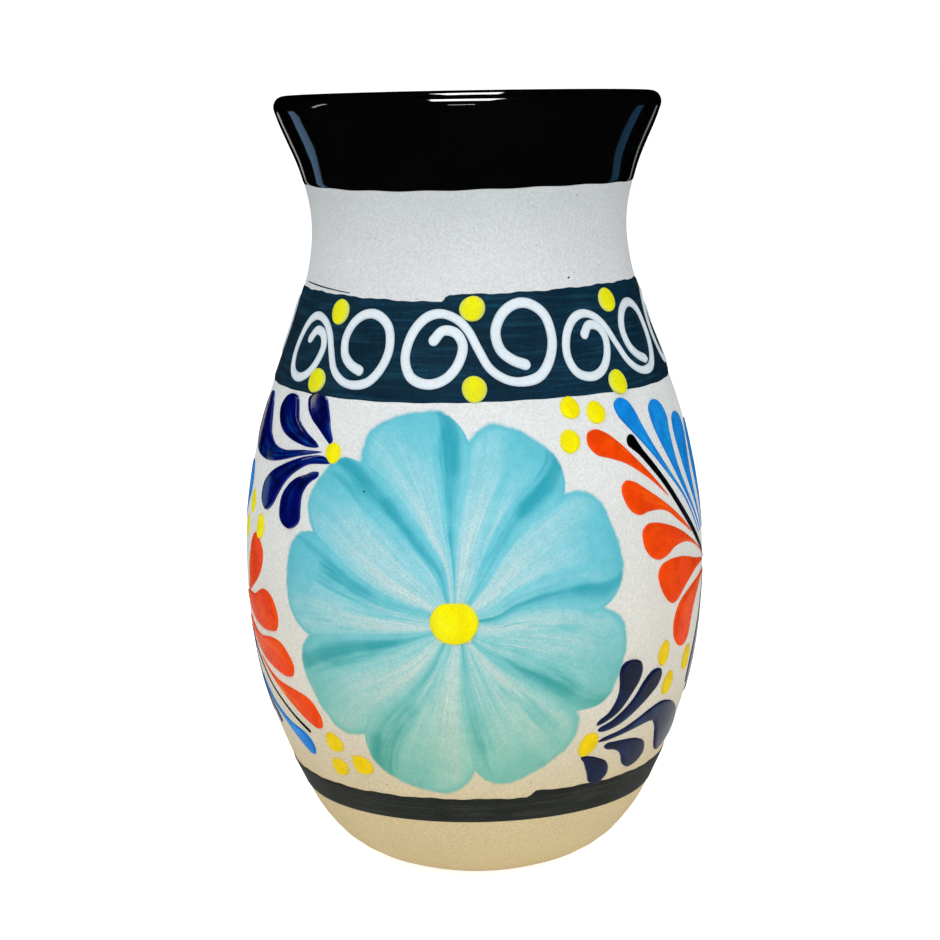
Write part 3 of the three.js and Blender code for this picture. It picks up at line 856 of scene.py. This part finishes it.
def petal(side, turn, index):
    """One petal between two of the flower's lines, its outer end pushed out in a round swell."""
    left = resample(PETAL_LINES[index], PETAL_ROWS)
    right = resample(PETAL_LINES[(index + 1) % len(PETAL_LINES)], PETAL_ROWS)
    across = np.linspace(0, 1, PETAL_COLUMNS)[None, :]
    along = np.linspace(0, 1, PETAL_ROWS)[:, None]
    grid = left[:, None, :] + (right - left)[:, None, :] * across[..., None]
    outward = grid / np.linalg.norm(grid, axis=-1, keepdims=True)
    push = PETAL_SWELL[index] * along**2.2 * (1 - np.abs(2 * across - 1) ** 3.2)
    grid = grid + outward * push[..., None]
    reach = np.linalg.norm(grid, axis=-1)
    side_gap = np.minimum(across, 1 - across) * np.linalg.norm(right - left, axis=1)[:, None]
    rim = np.where(along > 0.75, reach[-1:] - reach, PETAL_FAR)
    angle, height = on_flower(grid, turn)
    swollen = PETAL_FILM + PETAL_CROWN * smooth(side_gap / 4) * smooth(rim / 2.5)
    shades = {
        "across": np.repeat(across, PETAL_ROWS, axis=0),
        "along": np.repeat(along, PETAL_COLUMNS, axis=1),
        "rim": rim,
        "seed": np.full(rim.shape, float(index)),
    }
    name = f"{side}_petal_{index + 1}"
    top, bottom = place(angle, height, SLIP_EDGE + swollen), place(angle, height, -SINK)
    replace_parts(slab(name + "_fine", top, bottom, "turquoise_wash", shades), name)


def on_flower(points, turn):
    """Angles and heights of points in the flower's own millimetres."""
    girth = math.radians(1) * FLOWER_GIRTH
    return FLOWER_ANGLE + turn + points[..., 0] / girth, FLOWER_HEIGHT + points[..., 1]


def flower(side, turn):
    for index in range(len(PETAL_LINES)):
        petal(side, turn, index)
    left, right = sides(np.stack(on_flower(np.array(EYE), turn), axis=1), 8)
    name = f"{side}_flower_eye"
    look = {"rise": EYE_RISE, "shoulder": EYE_SHOULDER}
    eye = raised(name + "_fine", left, right, "yellow_enamel", **look)
    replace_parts(eye, name)


def resample(points, count):
    """Evenly spaced points of the smooth curve through points."""
    curve = spline(points, 12)
    length = np.concatenate([[0], np.cumsum(np.linalg.norm(np.diff(curve, axis=0), axis=1))])
    spots = np.linspace(0, length[-1], count)
    return np.stack([np.interp(spots, length, curve[:, axis]) for axis in (0, 1)], axis=1)


def strokes(side, turn):
    """All the strokes of one side: those round the belly's flank are painted thinner."""
    for kind, first, material, outlines in STROKES:
        for index, outline in enumerate(outlines, first):
            rise = FLANK_RISE if abs(np.mean(outline, axis=0)[0]) > FLANK else STROKE_RISE
            stroke(f"{side}_{kind}_{index}", outline, material, turn, rise)
    for name, (path, widths) in STAMENS.items():
        line(f"{side}_{name}", path, widths, "black_enamel", STAMEN_RISE, turn)
    for name, (angle, height, wide, tall, tilt) in DABS.items():
        rise = FLANK_RISE if abs(angle) > FLANK else DAB_RISE
        yellow = "yellow_enamel" if height > GOLD_BELOW else "gold_enamel"
        dab(f"{side}_{name}", angle + turn, height, wide, tall, tilt, yellow, rise)


def border():
    """The row of scrolls, and the dots over and under the middle of each."""
    girth = math.radians(1) * SCROLL_GIRTH
    for index, (angle, size, drop_left, drop_right) in enumerate(SCROLLS, 1):
        drops = np.linspace(drop_left, drop_right, len(SCROLL_PATH))
        path = [(angle + x * size / girth, SCROLL_HEIGHT + y * size - drop)
                for (x, y), drop in zip(SCROLL_PATH, drops)]
        widths = [width * min(size, 1) for width in SCROLL_WIDTHS]
        name = f"scroll_{index}"
        look = {"rise": SCROLL_RISE, "base": BORDER_BASE}
        scroll = line(name + "_fine", path, widths, "white_enamel", **look)
        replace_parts(scroll, name)
        for row, dots in SCROLL_DOTS.items():
            name = f"scroll_dot_{row}_{index}"
            look = {"rise": DOT_RISE, "base": BORDER_BASE, "lumpy": 0.03}
            dot = dab(name + "_fine", *dots[index - 1], *DOT_SIZE, 0, "lemon_enamel", **look)
            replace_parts(dot, name)


def stray_marks():
    """What the painter left beside the pattern: a hair of slip over the band, and two specks."""
    path = [(-76, 152.7), (-66, 152.5), (-55, 152.1), (-44, 151.6)]
    line("band_stray", path, [0.2, 0.35, 0.3, 0.2], "slate_slip", 0.1)
    dab("speck_neck", 35.1, 154.8, 0.8, 0.4, 20, "charcoal_slip", 0.05)
    dab("speck_petal", -27.3, 106, 0.5, 0.5, 0, "charcoal_slip", 0.05, 0.2)


clay_body()
bands()
rim_glaze()
inner_glaze()
for side, turn in SIDES.items():
    flower(side, turn)
    strokes(side, turn)
border()
stray_marks()


# --- The studio, in metres and watts --------------------------------------------------------

FLOOR_REACH = 30
PAPER_GLOW = (0.21, 0.75)  # how brightly the paper glows, to the vase and to the camera
SHINE_RADIUS = 0.24  # the lit part of the table
SHINE_BACK = 0.08  # how far its middle is behind the vase
SHINE_LIFT = 0.0005
SHINE_GLOW = 0.6
ROOM_LIGHT = 0.44
SOFT_AIM = 0.1  # heights that the lights point at
GLINT_AIM = 0.19
CAMERA_LENS = 85.98
CAMERA_SPOT = (-0.00084, -0.57836, 0.208)
CAMERA_DOWN = 10.439
CAMERA_ROLL = 0.989
# The lights on the colours: where from (azimuth, elevation, distance), size and power.
SOFT_LIGHTS = {
    "key": ((-27, 42, 1.5), (0.9, 0.9), 8),
    "fill": ((45, 22, 1.4), (0.9, 0.9), 4),
}
# The lights that only the glazes mirror: where from, size, power, and a tint if not white.
GLINTS = {
    "lip_light": ((-7, 84, 1.2), (0.48, 0.5), 15),
    "lip_spark": ((-3, 32, 1.2), (0.3, 0.06), 0.8),
    "side_window": ((-100, 20, 1.0), (0.06, 0.4), 0.35),
    "left_strip": ((-125, -17, 0.55), (0.085, 0.16), 0.038, (0.35, 0.62, 1)),
    "right_strip": ((121, -17, 0.55), (0.085, 0.16), 0.015, (0.16, 0.52, 1)),
    "left_edge": ((-151, -17, 0.5), (0.035, 0.2), 0.016, (1, 0.92, 0.8)),
    "right_edge": ((149, -17, 0.5), (0.03, 0.2), 0.008, (0.9, 1, 0.9)),
}


def flat_card(name, corners, material):
    """A flat stage piece with those corners, in metres."""
    mesh = bpy.data.meshes.new(name)
    mesh.from_pydata(corners, [], [range(len(corners))])
    mesh.materials.append(material)
    card = bpy.data.objects.new(name, mesh)
    bpy.context.collection.objects.link(card)
    return card


def area_light(name, spot, size, power, tint=(1, 1, 1), shines=True):
    """A light at a spot (azimuth from the camera's side, elevation and distance) from the vase.
    It either shines in the glazes or lights the colours, so that each can be set by itself."""
    azimuth, elevation, distance = spot
    turn, rise = math.radians(azimuth), math.radians(elevation)
    aim = Vector((0, 0, GLINT_AIM if shines else SOFT_AIM))
    across = math.cos(rise)
    away = Vector((math.sin(turn) * across, -math.cos(turn) * across, math.sin(rise)))
    light = bpy.data.lights.new(name, "AREA")
    light.shape = "RECTANGLE"
    light.size, light.size_y = size
    light.energy = power
    light.color = tint
    lamp = bpy.data.objects.new(name, light)
    lamp.location = aim + away * distance
    lamp.rotation_euler = (-away).to_track_quat("-Z", "Y").to_euler()
    lamp.visible_camera = False
    lamp.visible_glossy = shines
    lamp.visible_diffuse = not shines
    bpy.context.collection.objects.link(lamp)


def table():
    """White paper, and what of it the glazes mirror: only the lit part round the foot."""
    paper = Finish("paper")
    tone = paper.tone(colour("#f4f4f3"), paper.noise(0.01, 2), 0.01)
    seen = paper.node("ShaderNodeLightPath").outputs["Is Camera Ray"]
    lit = paper.remap(seen, 0, 1, *PAPER_GLOW)
    square = [(-1, -1), (1, -1), (1, 1), (-1, 1)]
    corners = [(x * FLOOR_REACH, y * FLOOR_REACH, 0) for x, y in square]
    white = paper.done(tone, 0.9, Emission_Color=(1, 1, 1, 1), Emission_Strength=lit)
    flat_card("floor", corners, white).visible_glossy = False
    glow = Finish("glow")
    shine = glow.node("ShaderNodeEmission", {"Strength": SHINE_GLOW}).outputs[0]
    glow.node("ShaderNodeOutputMaterial", {0: shine})
    turns = np.radians(np.arange(0, 360, 7.5))
    x, y = SHINE_RADIUS * np.cos(turns), SHINE_RADIUS * np.sin(turns) + SHINE_BACK
    near = np.stack([x, y, np.full(x.shape, SHINE_LIFT)], axis=1)
    mirrored = flat_card("table_shine", near.tolist(), glow.material)
    for ray in ("camera", "diffuse", "transmission", "volume_scatter", "shadow"):
        setattr(mirrored, "visible_" + ray, False)


def room():
    """A world that is white to look at, lights evenly, and stays black in the glazes."""
    world = bpy.data.worlds.new("room")
    bpy.context.scene.world = world
    world.use_nodes = True
    tree = world.node_tree
    tree.nodes.clear()
    ray = add_node(tree, "ShaderNodeLightPath").outputs
    inputs = {0: ray["Is Diffuse Ray"], 1: ROOM_LIGHT, 2: ray["Is Camera Ray"]}
    strength = add_node(tree, "ShaderNodeMath", inputs, operation="MULTIPLY_ADD").outputs[0]
    inputs = {"Color": (1, 1, 1, 1), "Strength": strength}
    background = add_node(tree, "ShaderNodeBackground", inputs).outputs[0]
    add_node(tree, "ShaderNodeOutputWorld", {0: background})


def lights():
    for name, soft in SOFT_LIGHTS.items():
        area_light(name, *soft, shines=False)
    for name, glint in GLINTS.items():
        area_light(name, *glint)


def camera():
    lens = bpy.data.cameras.new("camera")
    lens.lens = CAMERA_LENS
    eye = bpy.data.objects.new("camera", lens)
    down, roll = math.radians(90 - CAMERA_DOWN), math.radians(-CAMERA_ROLL)
    tilt = Matrix.Rotation(down, 3, "X") @ Matrix.Rotation(roll, 3, "Z")
    eye.location = CAMERA_SPOT
    eye.rotation_euler = tilt.to_euler()
    bpy.context.collection.objects.link(eye)
    bpy.context.scene.camera = eye


table()
room()
lights()
camera()
bpy.context.scene.view_settings.view_transform = "Standard"
